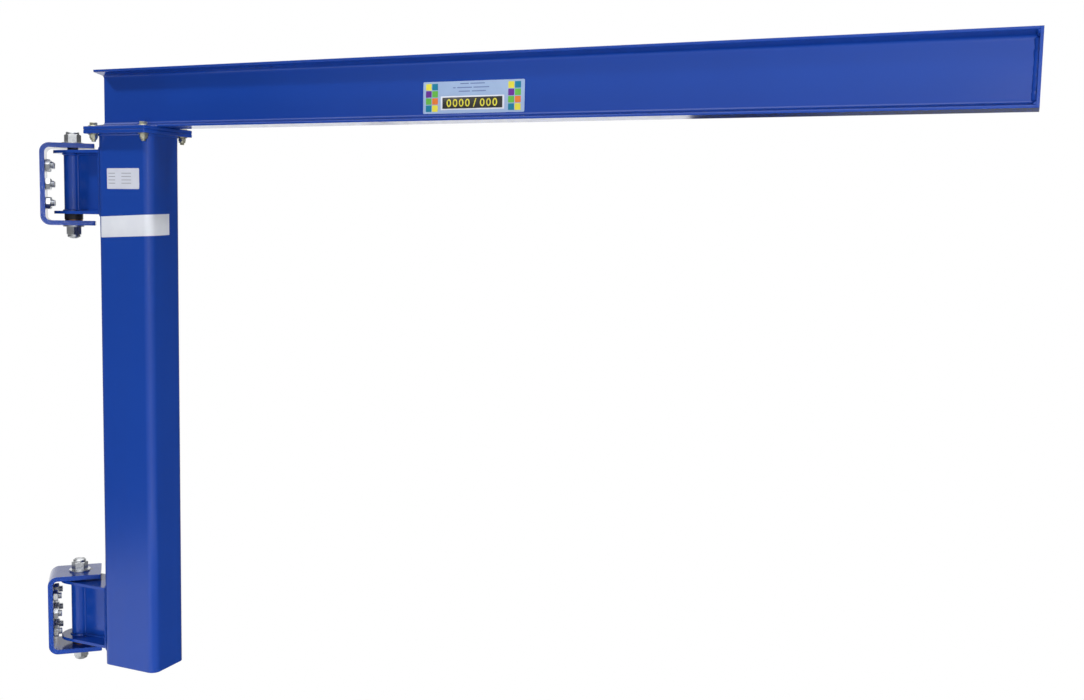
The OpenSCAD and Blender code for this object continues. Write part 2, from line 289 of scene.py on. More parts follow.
def finish_cad_nodes():
    """Gives each CAD node the finish of its material slot, and the rolled sections their own grain."""
    by_slot = {"blue_paint": PLATE_PAINT, "zinc_plated_steel": ZINC, "black_bearing": BLACK, "bronze": BRONZE}
    special = {"mast_tube": MAST_PAINT, "boom_beam": BOOM_PAINT}
    for part in frame["record"]["subparts"]:
        node = part["node"]
        mesh = frame["nodes"][node].data
        mesh.materials.clear()
        mesh.materials.append(special.get(node, by_slot[part["material_slot"]]))


# ---------------------------------------------------------------- mesh building

def add_piece(name, parts, material, body, place=WALL, sharp=35):
    """One mesh piece from (vertices, faces) parts given in a working frame."""
    vertices, faces = [], []
    for part_vertices, part_faces in parts:
        start = len(vertices)
        vertices += [tuple(v) for v in part_vertices]
        faces += [[start + i for i in face] for face in part_faces]
    mesh = bpy.data.meshes.new(name)
    mesh.from_pydata(vertices, [], faces)
    mesh.transform(place)
    mesh.materials.append(material)
    mesh.shade_smooth()
    mesh.set_sharp_from_angle(angle=math.radians(sharp))
    piece = bpy.data.objects.new(name, mesh)
    bpy.context.scene.collection.objects.link(piece)
    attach(piece, body)
    return piece


def loft(rings, loop=False):
    """Skin over rings of equal length. loop joins the last ring to the first, otherwise the ends are
    capped."""
    rings = np.asarray(rings, float)
    count, size = rings.shape[:2]
    faces = []
    for i in range(count if loop else count - 1):
        a, b = i * size, (i + 1) % count * size
        for j in range(size):
            k = (j + 1) % size
            faces.append([a + j, a + k, b + k, b + j])
    if not loop:
        faces.append(list(range(size))[::-1])
        faces.append([(count - 1) * size + j for j in range(size)])
    return rings.reshape(-1, 3), faces


def moved(part, matrix):
    """A part with its points moved by a matrix."""
    vertices, faces = part
    return [matrix @ Vector(v) for v in vertices], faces


def shifted(part, x, y, z):
    return moved(part, Matrix.Translation((x, y, z)))


SIDES = 48
TURN = np.arange(SIDES) * 2 * math.pi / SIDES


def circle_ring(radius, z):
    """A ring about Z. radius and z are numbers, or one number for each side."""
    radius, z = np.broadcast_to(radius, SIDES), np.broadcast_to(z, SIDES)
    return np.stack([radius * np.cos(TURN), radius * np.sin(TURN), z], axis=1)


def hexagon_radius(across):
    """Distance from the middle to the edge of a hexagon, at each side of TURN."""
    return across / 2 / np.cos((TURN + math.pi / 6) % (math.pi / 3) - math.pi / 6)


# slope of a hexagon's chamfered corners
CHAMFER = math.tan(math.radians(30))

# a lock nut's collar, as shares of its rise: its straight part, its roll, and both ends of its nylon ring
COLLAR_STRAIGHT, COLLAR_ROLL, NYLON_LOW, NYLON_HIGH = 0.45, 0.55, 0.4, 0.86
# as shares of its radius: its wall at the rim, and the ring's inset, which is less, so the ring bites in
COLLAR_WALL, NYLON_INSET, COLLAR_STEPS = 0.06, 0.05, 5

# a thread's depth as a share of its pitch, how steep its flanks are and how broad its crest is, and the step
# at its tip
THREAD_DEPTH, THREAD_SLOPE, THREAD_CREST, THREAD_TIP = 0.6, 1.25, 0.12, 0.3 * MM


def hexagon_rings(across, height, face=0.94):
    """Outer rings of a hexagon with chamfered corners, from its lower face to its upper one."""
    edge = hexagon_radius(across)
    flat = face * across / 2
    drop = (edge - flat) * CHAMFER
    return [circle_ring(flat, 0), circle_ring(edge, drop), circle_ring(edge, height - drop),
            circle_ring(flat, height)]


def nut(across, height, bore):
    """Plain hexagon nut with a small countersink at both ends of its bore."""
    lip = 0.08 * bore
    rings = [circle_ring(bore, lip), circle_ring(bore + lip, 0), *hexagon_rings(across, height),
             circle_ring(bore + lip, height), circle_ring(bore, height - lip)]
    return loft(rings, loop=True)


def lock_nut(across, height, bore, collar, rise):
    """Hexagon with a rolled collar above it, which holds a nylon ring."""
    straight, roll = height + COLLAR_STRAIGHT * rise, COLLAR_ROLL * rise
    rings = [circle_ring(bore, 0.5 * MM), circle_ring(bore + 0.6 * MM, 0), *hexagon_rings(across, height),
             circle_ring(collar, height), circle_ring(collar, straight)]
    for i in range(1, COLLAR_STEPS + 1):
        angle = i / COLLAR_STEPS * math.pi / 2
        rings.append(circle_ring(collar - roll * (1 - math.cos(angle)), straight + roll * math.sin(angle)))
    inner = collar - roll - COLLAR_WALL * collar
    seat = height + NYLON_LOW * rise
    rings += [circle_ring(inner, height + rise), circle_ring(inner, seat), circle_ring(bore, seat)]
    return loft(rings, loop=True)


def nylon_ring(bore, collar, height, rise):
    """Ring inside a lock nut's collar."""
    outer = collar - COLLAR_ROLL * rise - NYLON_INSET * collar
    low, high = height + NYLON_LOW * rise, height + NYLON_HIGH * rise
    edge = 0.5 * MM
    return loft([circle_ring(bore, low), circle_ring(outer, low), circle_ring(outer, high),
                 circle_ring(bore + edge, high), circle_ring(bore, high - edge)], loop=True)


def washer(radius, bore, thickness, edge=0.5 * MM):
    """Flat ring with chamfered outer edges."""
    return loft([circle_ring(bore, 0), circle_ring(radius - edge, 0), circle_ring(radius, edge),
                 circle_ring(radius, thickness - edge), circle_ring(radius - edge, thickness),
                 circle_ring(bore, thickness)], loop=True)


def bolt_head(across, height):
    """Hexagon that is closed at both faces."""
    centre = 0.12 * across
    rings = hexagon_rings(across, height, face=0.9)
    return loft([circle_ring(centre, 0), *rings, circle_ring(centre, height)])


def threaded_end(radius, length, pitch, chamfer, steps=6):
    """Rod end with a true helical thread, standing on z = 0, chamfered at its tip."""
    depth = THREAD_DEPTH * pitch
    rings = []
    for z in np.arange(0, length + 1e-9, pitch / steps):
        phase = (z / pitch - TURN / (2 * math.pi)) % 1
        crest = 1 - np.abs(2 * phase - 1)
        thread = radius - depth * np.clip(THREAD_SLOPE * (1 - crest) - THREAD_CREST, 0, 1)
        tip = radius - max(0.0, z - (length - chamfer))
        rings.append(circle_ring(np.minimum(thread, tip), z))
    rings.append(circle_ring(radius - chamfer - THREAD_TIP, length))
    return loft(rings)


# ---------------------------------------------------------------- weld beads

# a bead's ripples: their pitch, their height as a share of the bead, and how far they lag at mid height
RIPPLE, RIPPLE_SHARE, RIPPLE_LAG = 3.4 * MM, 0.05, 1.6
# how much a bead's size strays along its way, and at how many points
STRAY, STRAY_POINTS = 0.05, 24
# how deep its root lies, its roundness from flat to a full arc, and its size where it starts and ends
BEAD_ROOT, BEAD_ROUND, BEAD_START = 0.4 * MM, 0.5, 0.55
BEAD_ARC = np.linspace(0, math.pi / 2, 6)


def resample(points, closed):
    """Even steps of a third of a ripple along a path, its corners' distances along it, and its points."""
    points = np.asarray(points, float)
    if closed:
        points = np.vstack([points, points[:1]])
    lengths = np.concatenate([[0], np.cumsum(np.linalg.norm(np.diff(points, axis=0), axis=1))])
    count = max(4, int(lengths[-1] / (RIPPLE / 3)))
    at = np.linspace(0, lengths[-1], count, endpoint=not closed)
    return at, lengths, points


def along(at, lengths, values, closed):
    """Values given at a path's corners, at each step along it."""
    values = np.asarray(values, float)
    if closed:
        values = np.vstack([values, values[:1]])
    return np.stack([np.interp(at, lengths, values[:, i]) for i in range(3)], axis=1)


def bead(points, outward, upward, leg, rise=None, closed=False):
    """Convex fillet weld along an inside corner. It covers leg of the face along outward and rise of the
    one along upward."""
    rise = leg if rise is None else rise
    at, lengths, points = resample(points, closed)
    path = along(at, lengths, points[:-1] if closed else points, closed)
    out = along(at, lengths, np.broadcast_to(outward, (len(points) - closed, 3)), closed)
    up = along(at, lengths, np.broadcast_to(upward, (len(points) - closed, 3)), closed)
    knots = np.linspace(0, lengths[-1], STRAY_POINTS)
    uneven = np.interp(at, knots, random.normal(0, STRAY, STRAY_POINTS))
    rings = []
    for s, p, u, v, rough in zip(at, path, out, up, uneven):
        fade = 1 if closed else min(1, BEAD_START + min(s, lengths[-1] - s) / leg)
        ring = [p - BEAD_ROOT * (u + v)]
        for angle in BEAD_ARC:
            lag = RIPPLE_LAG * math.sin(2 * angle)
            ripple = RIPPLE_SHARE * math.sin(2 * math.pi * s / RIPPLE - lag)
            size = fade * (1 + rough + ripple)
            share = angle / (math.pi / 2)
            arc = math.cos(angle) * leg * u + math.sin(angle) * rise * v
            flat = (1 - share) * leg * u + share * rise * v
            ring.append(p + size * (BEAD_ROUND * arc + (1 - BEAD_ROUND) * flat))
        rings.append(ring)
    return loft(rings, loop=closed)


def rounded_rectangle(low, high, radius, z, steps=6):
    """Points round a rectangle with round corners, and the outward direction at each."""
    points, outward = [], []
    centres = [(high[0] - radius, high[1] - radius), (low[0] + radius, high[1] - radius),
               (low[0] + radius, low[1] + radius), (high[0] - radius, low[1] + radius)]
    for corner, (x, y) in enumerate(centres):
        for i in range(steps + 1):
            angle = math.pi / 2 * (corner + i / steps)
            way = np.array([math.cos(angle), math.sin(angle), 0])
            points.append(np.array([x, y, z]) + radius * way)
            outward.append(way)
    return np.array(points), np.array(outward)


# legs of the beads: the usual one, along the plates, round a sleeve and beside it
WELD, PLATE_WELD, SLEEVE_WELD, SIDE_WELD = 6 * MM, 5 * MM, 4.5 * MM, 3.5 * MM
# legs and rises of the mast's bead and of the one between web and end plate, and the rise at the pads
MAST_WELD, MAST_WELD_RISE, END_WELD, END_WELD_RISE = 4.0 * MM, 5.0 * MM, 8 * MM, 9 * MM
PAD_WELD_RISE = 9 * MM
# how far the web's bead keeps from the flanges' backs, and both ends of a flange's bead, as distances from
# the web's middle and from the flange's back
WEB_ROOT, FLANGE_ROOT, FLANGE_TOE = 14 * MM, (9 * MM, 12 * MM), (41 * MM, 6.2 * MM)
# the bead at a pad's upright edge: its gap to the edge, its step along the tube and the way it leans
CORNER_GAP, CORNER_STEP, CORNER_LEAN = 0.3 * MM, 1.2 * MM, (0.5, 0.87)
# the bead round a sleeve, as directions in degrees: it leaves the web free
SLEEVE_START, SLEEVE_END, SLEEVE_STEP = 28, 333, 8


def mast_welds():
    """Round the mast, under its top plate."""
    low, high = box_in(SWING, "mast_tube")
    points, outward = rounded_rectangle(low, high, MAST_CORNER, high[2])
    return [bead(points, outward, -Z, MAST_WELD, rise=MAST_WELD_RISE, closed=True)]


def boom_welds():
    """Along both edges of the lower flange on its plate, and inside the end plate."""
    low, high = box_in(SWING, "boom_beam")
    plate_end = box_in(SWING, "boom_base_plate")[1][0]
    z = low[2]
    beads = []
    for y, way in ((low[1], -Y), (high[1], Y)):
        beads.append(bead([[low[0], y, z], [plate_end, y, z]], way, Z, PLATE_WELD))
    end = high[0]
    for side in (-1, 1):
        web = side * WEB_HALF
        beads.append(bead([[end, web, low[2] + WEB_ROOT], [end, web, high[2] - WEB_ROOT]], side * Y, -X,
                          END_WELD, rise=END_WELD_RISE))
        for back, way, up in ((low[2], 1, Z), (high[2], -1, -Z)):
            path = [[end, side * across, back + way * rise] for across, rise in (FLANGE_ROOT, FLANGE_TOE)]
            beads.append(bead(path, up, -X, WELD))
    return beads


def knuckle_welds(level):
    """Fillets that join a knuckle's plates, web, sleeve and pad, and the pad to the mast."""
    web_low, web_high = box_in(SWING, level + "_knuckle_web")
    pad_low, pad_high = box_in(SWING, level + "_knuckle_pad")
    sleeve_r = box_in(SWING, level + "_pivot_sleeve")[1][0]
    face, edge = pad_low[0], pad_high[1]
    plates = ((web_low[2], Z), (web_high[2], -Z))
    beads = []
    for side in (-1, 1):
        web = side * web_high[1]
        meet = math.sqrt(sleeve_r ** 2 - web ** 2)
        beads.append(bead([[face, web, web_low[2]], [face, web, web_high[2]]], side * Y, -X, WELD))
        beads.append(bead([[meet, web, web_low[2]], [meet, web, web_high[2]]], side * Y, X, SIDE_WELD))
        for z, up in plates:
            beads.append(bead([[meet, web, z], [face, web, z]], side * Y, up, PLATE_WELD))
        # the pad's upright edge, against the round corner of the tube
        corner = side * (edge + CORNER_GAP)
        slant = np.array([CORNER_LEAN[0], side * CORNER_LEAN[1], 0])
        beads.append(bead([[pad_high[0] + CORNER_STEP, corner, z] for z in (pad_low[2], pad_high[2])],
                          slant, -X, WELD))
        # each plate's end, on the pad's rear face
        for z, up in plates:
            beads.append(bead([[face, web + side * WELD, z], [face, side * edge, z]], -X, up, PLATE_WELD))
    for z, up in ((pad_high[2], Z), (pad_low[2], -Z)):
        beads.append(bead([[pad_high[0], -edge, z], [pad_high[0], edge, z]], -X, up,
                          pad_high[0] - pad_low[0], rise=PAD_WELD_RISE))
    around = np.radians(np.arange(SLEEVE_START, SLEEVE_END, SLEEVE_STEP))
    ways = np.stack([np.cos(around), np.sin(around), 0 * around], axis=1)
    for z, up in plates:
        beads.append(bead(ways * sleeve_r + [0, 0, z], ways, up, SLEEVE_WELD))
    return beads


def weld_piece(name, beads):
    add_piece(name, beads, WELD_PAINT, SWING_BODY, SWING, sharp=180)


# ---------------------------------------------------------------- joint plates

PLATE_EDGE, PLATE_CORNER = 2.2 * MM, 3.0 * MM


def joint_plates():
    """The two bolted plates with their rounded sheared edges, which leave a groove where they meet."""
    for node in ("mast_top_plate", "boom_base_plate"):
        low, high = box_in(SWING, node)
        rings = []
        for angle in np.radians(np.linspace(-90, 90, 12)):
            inset = PLATE_EDGE * (1 - math.cos(angle))
            rise = PLATE_EDGE * (1 - abs(math.sin(angle)))
            z = low[2] + rise if angle < 0 else high[2] - rise
            ring, _ = rounded_rectangle(low + inset, high - inset, PLATE_CORNER - inset, z)
            rings.append(ring)
        piece = add_piece(node + "_soft", [loft(rings)], PLATE_PAINT, SWING_BODY, SWING,
                          sharp=60)
        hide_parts(node)


# ---------------------------------------------------------------- bolts

# radius, width across flats, heights, thread pitch, and the length and chamfer of the threaded end
WALL_BOLT_R, WALL_NUT_AF, WALL_NUT_H, WALL_PITCH = 0.375 * INCH, 1.125 * INCH, 13 * MM, INCH / 10
WALL_END, WALL_TIP = 22 * MM, 1.5 * MM
JOINT_BOLT_R, JOINT_AF, JOINT_PITCH = 0.25 * INCH, 0.75 * INCH, INCH / 13
JOINT_HEAD_H, JOINT_NUT_H, JOINT_END, JOINT_TIP = 8 * MM, 9 * MM, 20.5 * MM, 1.2 * MM
WASHER_R, WASHER_T, COLLAR_R, COLLAR_H = 13.5 * MM, 2.5 * MM, 9.0 * MM, 4.0 * MM
WASHER_PLAY, THREAD_PLAY = 0.4 * MM, 0.1 * MM
# how far the joint bolts stand in from the plates' edges, and how far their nuts are turned from their heads
JOINT_INSET, NUT_TURN = np.array([19.1, 19.05, 0]) * MM, 0.4


def facing(point, way, spin=0.0):
    """Puts a part that stands on z = 0 at a point, standing along way."""
    turn = Vector(way).to_track_quat("Z", "Y").to_matrix().to_4x4()
    return Matrix.Translation(point) @ turn @ Matrix.Rotation(spin, 4, "Z")


def wall_bolts(level):
    """Nut and threaded end of each wall bolt, inside the bracket."""
    outer = mount(level + "_wall_bolts_outer")
    columns = outer["dims"]["spacing_x_mm"] * MM / 2
    rows = outer["dims"]["spacing_y_mm"] * MM / 2
    inner_y = -box_in(WALL, level + "_wall_bracket")[1][1] - BRACKET_T
    nuts, threads = [], []
    for x in (-columns, columns):
        for z in (-rows, 0, rows):
            spin = random.uniform(0, math.pi / 3)
            spot = Vector(outer["pos_m"]) + Vector((x, inner_y, z))
            place = facing(spot, (0, -1, 0), spin)
            nuts.append(moved(nut(WALL_NUT_AF, WALL_NUT_H, WALL_BOLT_R), place))
            end = threaded_end(WALL_BOLT_R - THREAD_PLAY, WALL_END, WALL_PITCH, WALL_TIP)
            threads.append(moved(end, place))
    add_piece(level + "_wall_nuts", nuts, ZINC, WALL_BODY)
    add_piece(level + "_wall_bolt_ends", threads, ZINC, WALL_BODY)


def joint_bolts():
    """Head and washer above the two joint plates, washer, lock nut and threaded end below them."""
    low, high = box_in(SWING, "boom_base_plate")
    underside = box_in(SWING, "mast_top_plate")[0][2]
    centre = (low + high) / 2
    half = (high - low) / 2 - JOINT_INSET
    lift = Matrix.Translation((0, 0, WASHER_T))
    flat_ring = washer(WASHER_R, JOINT_BOLT_R + WASHER_PLAY, WASHER_T)
    head = bolt_head(JOINT_AF, JOINT_HEAD_H)
    bottom_nut = lock_nut(JOINT_AF, JOINT_NUT_H, JOINT_BOLT_R, COLLAR_R, COLLAR_H)
    end = threaded_end(JOINT_BOLT_R - THREAD_PLAY, JOINT_END, JOINT_PITCH, JOINT_TIP)
    nylon = nylon_ring(JOINT_BOLT_R, COLLAR_R, JOINT_NUT_H, COLLAR_H)
    metal, rings = [], []
    for x in (-1, 1):
        for y in (-1, 1):
            spot = Vector((centre[0] + x * half[0], centre[1] + y * half[1], 0))
            spin = random.uniform(0, math.pi / 3)
            above = Matrix.Translation(spot + Vector((0, 0, high[2]))) @ Matrix.Rotation(spin, 4, "Z")
            below = facing(spot + Vector((0, 0, underside)), (0, 0, -1), spin + NUT_TURN)
            metal += [moved(flat_ring, above), moved(flat_ring, below), moved(head, above @ lift),
                      moved(bottom_nut, below @ lift), moved(end, below)]
            rings.append(moved(nylon, below @ lift))
    add_piece("joint_bolts", metal, YELLOW_ZINC, SWING_BODY, SWING)
    add_piece("joint_nut_nylon", rings, NYLON, SWING_BODY, SWING)


# a pivot nut's nylon ring: its width, its gap to the stud, its height, its chamfer and how deep it lies
PIVOT_RING_W, PIVOT_RING_GAP, PIVOT_RING_H = 1.5 * MM, 0.05 * MM, 1.4 * MM
PIVOT_RING_EDGE, PIVOT_RING_DEPTH = 0.4 * MM, 1.9 * MM


def pivot_nylon():
    """Locking ring in the recess of each pivot nut's collar, round the stud."""
    rings = []
    for level in ("upper", "lower"):
        stud_r = box_in(WALL, level + "_pivot_stud")[1][0]
        ring = washer(stud_r + PIVOT_RING_W, stud_r + PIVOT_RING_GAP, PIVOT_RING_H, edge=PIVOT_RING_EDGE)
        for end, side in (("top", 1), ("bottom", -1)):
            nut_box = box_in(WALL, f"{level}_pivot_{end}_nut")
            rim = nut_box[1 if side > 0 else 0][2]
            place = facing((PIVOT.x, PIVOT.y, rim), (0, 0, side))
            rings.append(moved(ring, place @ Matrix.Translation((0, 0, -PIVOT_RING_DEPTH))))
    add_piece("pivot_nut_nylon", rings, NYLON, WALL_BODY)


# ---------------------------------------------------------------- bare label plates

# load panel: how far its middle is from the beam's end and above its underside, and its size
PANEL_BACK, PANEL_RISE, PANEL_SIZE = 1196 * MM, 56.5 * MM, (260 * MM, 74 * MM)
# its window's place on it, the window's frame and the window
WINDOW_SPOT, FRAME_SIZE, WINDOW_SIZE = (-2 * MM, 0, -13 * MM), (163 * MM, 32 * MM), (154 * MM, 26 * MM)
# how thick the panel, the window's frame and the window are, and the squares, the bars and the figures
PANEL_T, FRAME_T, WINDOW_T = 0.5 * MM, 0.2 * MM, 0.15 * MM
SQUARE_T, BAR_T, FIGURE_T = 0.2 * MM, 0.12 * MM, 0.1 * MM
# the radius of their corners
PANEL_CORNER, FRAME_CORNER, WINDOW_CORNER, SQUARE_CORNER = 3 * MM, 0.8 * MM, 0.6 * MM, 1 * MM
# printed bars in millimetres, each row as (z, (left x, right x), ...)
PANEL_ROWS = ((31, (-33, -11), (-7, 30)), (22, (-52, -45), (-41, -3), (1, 41)), (13.5, (-37, -8), (-3, 33)))
PLATE_ROWS = tuple((z, (-48, -26), (-5, 27)) for z in (14, 5.5, -3.5, -12))
PANEL_BAR, PLATE_BAR = 2.2 * MM, 1.8 * MM
# empty figures in the window, at these x in millimetres, and the slanted stroke between them
FIGURE_W, FIGURE_H, FIGURE_STROKE = 12 * MM, 18 * MM, 3 * MM
FIGURES_AT = (-60, -44, -28, -12, 26, 42, 58)
SLASH_TOP, SLASH_FOOT, SLASH_H = (8.5 * MM, 11.0 * MM), (2.5 * MM, 5.0 * MM), 19 * MM

# small squares of colour near both ends of the load panel
TONES = {"yellow": (0.70, 0.63, 0.055), "violet": (0.12, 0.022, 0.25), "teal": (0.005, 0.18, 0.29),
         "green": (0.12, 0.42, 0.055), "orange": (0.70, 0.18, 0.03)}
SQUARE_ROWS = (("yellow", "teal"), ("violet", "green"), ("green", "orange"), ("teal", "yellow"))
SQUARE, SQUARE_PITCH, SQUARES_AT = 15 * MM, 16.6 * MM, (-107 * MM, 105 * MM)

# blank plate on the mast: its place beside the mast's middle and below its top, its size and thickness
BLANK_ASIDE, BLANK_DROP, BLANK_SIZE, BLANK_T = 2.5 * MM, 116 * MM, (107 * MM, 54 * MM), 0.4 * MM

# blank strip round the mast's corner: its height and thickness, how high its middle starts on the mast, its
# slope, and its far end beyond the middle of the mast's next face
STRIP_H, STRIP_T, STRIP_RISE, STRIP_SLOPE, STRIP_REACH = 55.6 * MM, 0.3 * MM, 1199.5 * MM, 0.0427, 12.8 * MM


def rounded_panel(width, height, radius, thickness):
    """Panel in the XZ plane with round corners, standing out of y = 0 towards -Y."""
    outline, _ = rounded_rectangle((-width / 2, -height / 2), (width / 2, height / 2), radius, 0)
    back = np.stack([outline[:, 0], 0 * outline[:, 0], outline[:, 1]], axis=1)
    inset = 1 - 0.15 * MM / min(width, height)
    front = back * [inset, 0, inset] - [0, thickness, 0]
    return loft([back, back - [0, 0.6 * thickness, 0], front])


def add_label(name, spot, parts, material):
    """Thin parts on a face that looks along -Y of the swinging frame."""
    add_piece(name, parts, material, SWING_BODY, SWING @ Matrix.Translation(spot))


def add_panel(name, spot, size, radius, material, thickness):
    """One flat panel of a label."""
    add_label(name, spot, [rounded_panel(*size, radius, thickness)], material)


def tapered_panel(high_x, low_x, height, thickness):
    """Four-sided panel in the XZ plane, standing out of y = 0. Each end's pair gives its left and right x."""
    back = np.array([(low_x[0], 0, -height / 2), (low_x[1], 0, -height / 2),
                     (high_x[1], 0, height / 2), (high_x[0], 0, height / 2)])
    return loft([back, back - [0, thickness, 0]])


def colour_squares(name, spot, inks):
    """Two small blocks of plain printed squares, with one piece for each colour."""
    squares = {tone: [] for tone in inks}
    panel = rounded_panel(SQUARE, SQUARE, SQUARE_CORNER, SQUARE_T)
    for middle_x in SQUARES_AT:
        for row, tones in enumerate(SQUARE_ROWS):
            for column, tone in enumerate(tones):
                x = middle_x + (column - 0.5) * SQUARE_PITCH
                squares[tone].append(shifted(panel, x, 0, (1.5 - row) * SQUARE_PITCH))
    for tone, parts in squares.items():
        add_label(f"{name}_{tone}", spot, parts, inks[tone])


def bars(name, spot, rows, height, material):
    """Plain printed bars where a label has its lines."""
    parts = []
    for z, *spans in rows:
        for left, right in spans:
            panel = rounded_panel((right - left) * MM, height, 0.3 * height, BAR_T)
            parts.append(shifted(panel, (left + right) / 2 * MM, 0, z * MM))
    add_label(name, spot, parts, material)


def oval_ring(width, height, stroke, thickness):
    """Upright oval ring in the XZ plane."""
    cos, sin = np.cos(TURN), np.sin(TURN)
    outer = np.stack([width / 2 * cos, 0 * cos, height / 2 * sin], axis=1)
    inner = outer * [1 - 2 * stroke / width, 0, 1 - 2 * stroke / height]
    front = [0, -thickness, 0]
    return loft([inner, inner + front, outer + front, outer], loop=True)


def load_panel(spot, white, black):
    """Panel for a rated load: squares of colour at both ends, plain bars and a window with empty figures."""
    pale = printed("panel_pale_blue", (0.31, 0.415, 0.60, 1), (0.29, 0.39, 0.575, 1))
    add_panel("load_panel", spot, PANEL_SIZE, PANEL_CORNER, pale, PANEL_T)
    face = spot - Vector((0, PANEL_T, 0))
    window = face + Vector(WINDOW_SPOT)
    add_panel("load_panel_frame", window, FRAME_SIZE, FRAME_CORNER, white, FRAME_T)
    window.y -= FRAME_T
    add_panel("load_panel_window", window, WINDOW_SIZE, WINDOW_CORNER, black, WINDOW_T)
    inks = {tone: printed("ink_" + tone, (*rgb, 1), tuple(0.9 * c for c in rgb) + (1,))
            for tone, rgb in TONES.items()}
    colour_squares("load_panel_squares", face, inks)
    ink = printed("panel_ink", (0.09, 0.13, 0.30, 1), (0.11, 0.16, 0.34, 1))
    bars("load_panel_bars", face, PANEL_ROWS, PANEL_BAR, ink)
    figure = oval_ring(FIGURE_W, FIGURE_H, FIGURE_STROKE, FIGURE_T)
    figures = [shifted(figure, x * MM, 0, 0) for x in FIGURES_AT]
    figures.append(tapered_panel(SLASH_TOP, SLASH_FOOT, SLASH_H, FIGURE_T))
    window.y -= WINDOW_T
    add_label("load_panel_zeros", window, figures, inks["yellow"])


def corner_strip(white):
    """Blank film on the mast's near face, which goes round its corner onto the next face."""
    low, high = box_in(SWING, "mast_tube")
    r = MAST_CORNER
    left, right = np.array([low[0] + r, low[1] + r]), np.array([high[0] - r, low[1] + r])
    path = [(left, a) for a in np.radians(np.linspace(-108, -90, 5))]
    path += [(right, a) for a in np.radians(np.linspace(-90, 0, 17))]
    outline = [(c + r * np.array([math.cos(a), math.sin(a)]), (math.cos(a), math.sin(a))) for c, a in path]
    outline.append((np.array([high[0], (low[1] + high[1]) / 2 + STRIP_REACH]), (1, 0)))
    rings, run, last = [], 0.0, outline[0][0]
    for point, way in outline:
        run += float(np.linalg.norm(point - last))
        last = point
        z = low[2] + STRIP_RISE + STRIP_SLOPE * run
        ring = []
        for lift in (0, STRIP_T):
            spot = point + lift * np.array(way)
            ends = [(*spot, z + side * (STRIP_H / 2 - lift)) for side in (-1, 1)]
            ring += ends if lift == 0 else ends[::-1]
        rings.append(ring)
    add_piece("blank_strip", [loft(rings)], white, SWING_BODY, SWING, sharp=60)


def labels():
    """Bare or plain films in the places of the crane's labels."""
    low, high = box_in(SWING, "boom_beam")
    mast_low, mast_high = box_in(SWING, "mast_tube")
    white = printed("panel_white", (0.66, 0.68, 0.73, 1), (0.62, 0.64, 0.70, 1))
    pale = printed("plate_pale", (0.56, 0.58, 0.66, 1), (0.53, 0.55, 0.63, 1))
    black = printed("panel_black", (0.012, 0.012, 0.013, 1), (0.02, 0.02, 0.021, 1))
    faint = printed("plate_ink", (0.22, 0.23, 0.27, 1), (0.26, 0.27, 0.31, 1))
    load_panel(Vector((high[0] - PANEL_BACK, -WEB_HALF, low[2] + PANEL_RISE)), white, black)
    plate = Vector(((mast_low[0] + mast_high[0]) / 2 + BLANK_ASIDE, mast_low[1], mast_high[2] - BLANK_DROP))
    add_panel("blank_plate", plate, BLANK_SIZE, PANEL_CORNER, pale, BLANK_T)
    bars("blank_plate_bars", plate - Vector((0, BLANK_T, 0)), PLATE_ROWS, PLATE_BAR, faint)
    corner_strip(white)


# ---------------------------------------------------------------- stage, light and camera

# the camera, fitted to the crane's straight edges: where it stands, looks and has its right, and its lens
EYE = Vector((-3.4638, -0.2234, 1.1054))
AHEAD = Vector((0.94688, -0.30734, -0.09470)).normalized()
RIGHT = Vector((-0.30706, -0.95152, 0.01788)).normalized()
LENS, SHIFT_X, SHIFT_Y = 38.98, 0.0311, -0.0119


def camera():
    data = bpy.data.cameras.new("camera")
    data.sensor_width = 36
    data.lens = LENS
    data.shift_x, data.shift_y = SHIFT_X, SHIFT_Y
    eye = bpy.data.objects.new("camera", data)
    turn = Matrix((RIGHT, RIGHT.cross(AHEAD).normalized(), -AHEAD)).transposed().to_4x4()
    eye.matrix_world = Matrix.Translation(EYE) @ turn
    bpy.context.scene.collection.objects.link(eye)
    bpy.context.scene.camera = eye


def area_light(name, spot, target, size, level, tall=None):
    """Softbox. level is how brightly it shows a surface at its target that squarely faces it. The paint
    mirrors the studio's walls, and not its lamps."""
    data = bpy.data.lights.new(name, "AREA")
    data.size = size
    if tall:
        data.shape = "RECTANGLE"
        data.size_y = tall
    way = Vector(target) - Vector(spot)
    data.energy = level * math.pi ** 2 * way.length_squared
    light = bpy.data.objects.new(name, data)
    light.matrix_world = Matrix.Translation(spot) @ way.to_track_quat("-Z", "Y").to_matrix().to_4x4()
    light.visible_camera = False
    light.visible_glossy = False
    bpy.context.scene.collection.objects.link(light)


# the lamps' levels, and the fill of the world
KEY_LEVEL, FRONT_LEVEL, ALONG_LEVEL, LOW_LEVEL = 0.68, 1.05, 0.496, 0.555
WORLD_FILL = 0.12


def studio_lights():
    """Key from the left above, a front light before the boom, one along it and one near the floor. All stand
    clear of the boom's whole swing."""
    mast, foot = Vector((-0.2, -0.25, 1.35)), Vector((-0.2, -0.25, 0.0))
    tip, before = SWING @ Vector((2.40, 0, 1.42)), SWING @ Vector((2.60, -3.50, 1.10))
    area_light("key", spot=(-0.24, 1.80, 3.20), target=mast, size=0.30, level=KEY_LEVEL)
    area_light("front", spot=before, target=tip, size=0.50, level=FRONT_LEVEL, tall=1.2)
    area_light("along", spot=(-2.98, -3.45, 2.50), target=mast, size=0.70, level=ALONG_LEVEL)
    area_light("low", spot=(-1.20, 0.35, -0.50), target=foot, size=0.60, level=LOW_LEVEL)


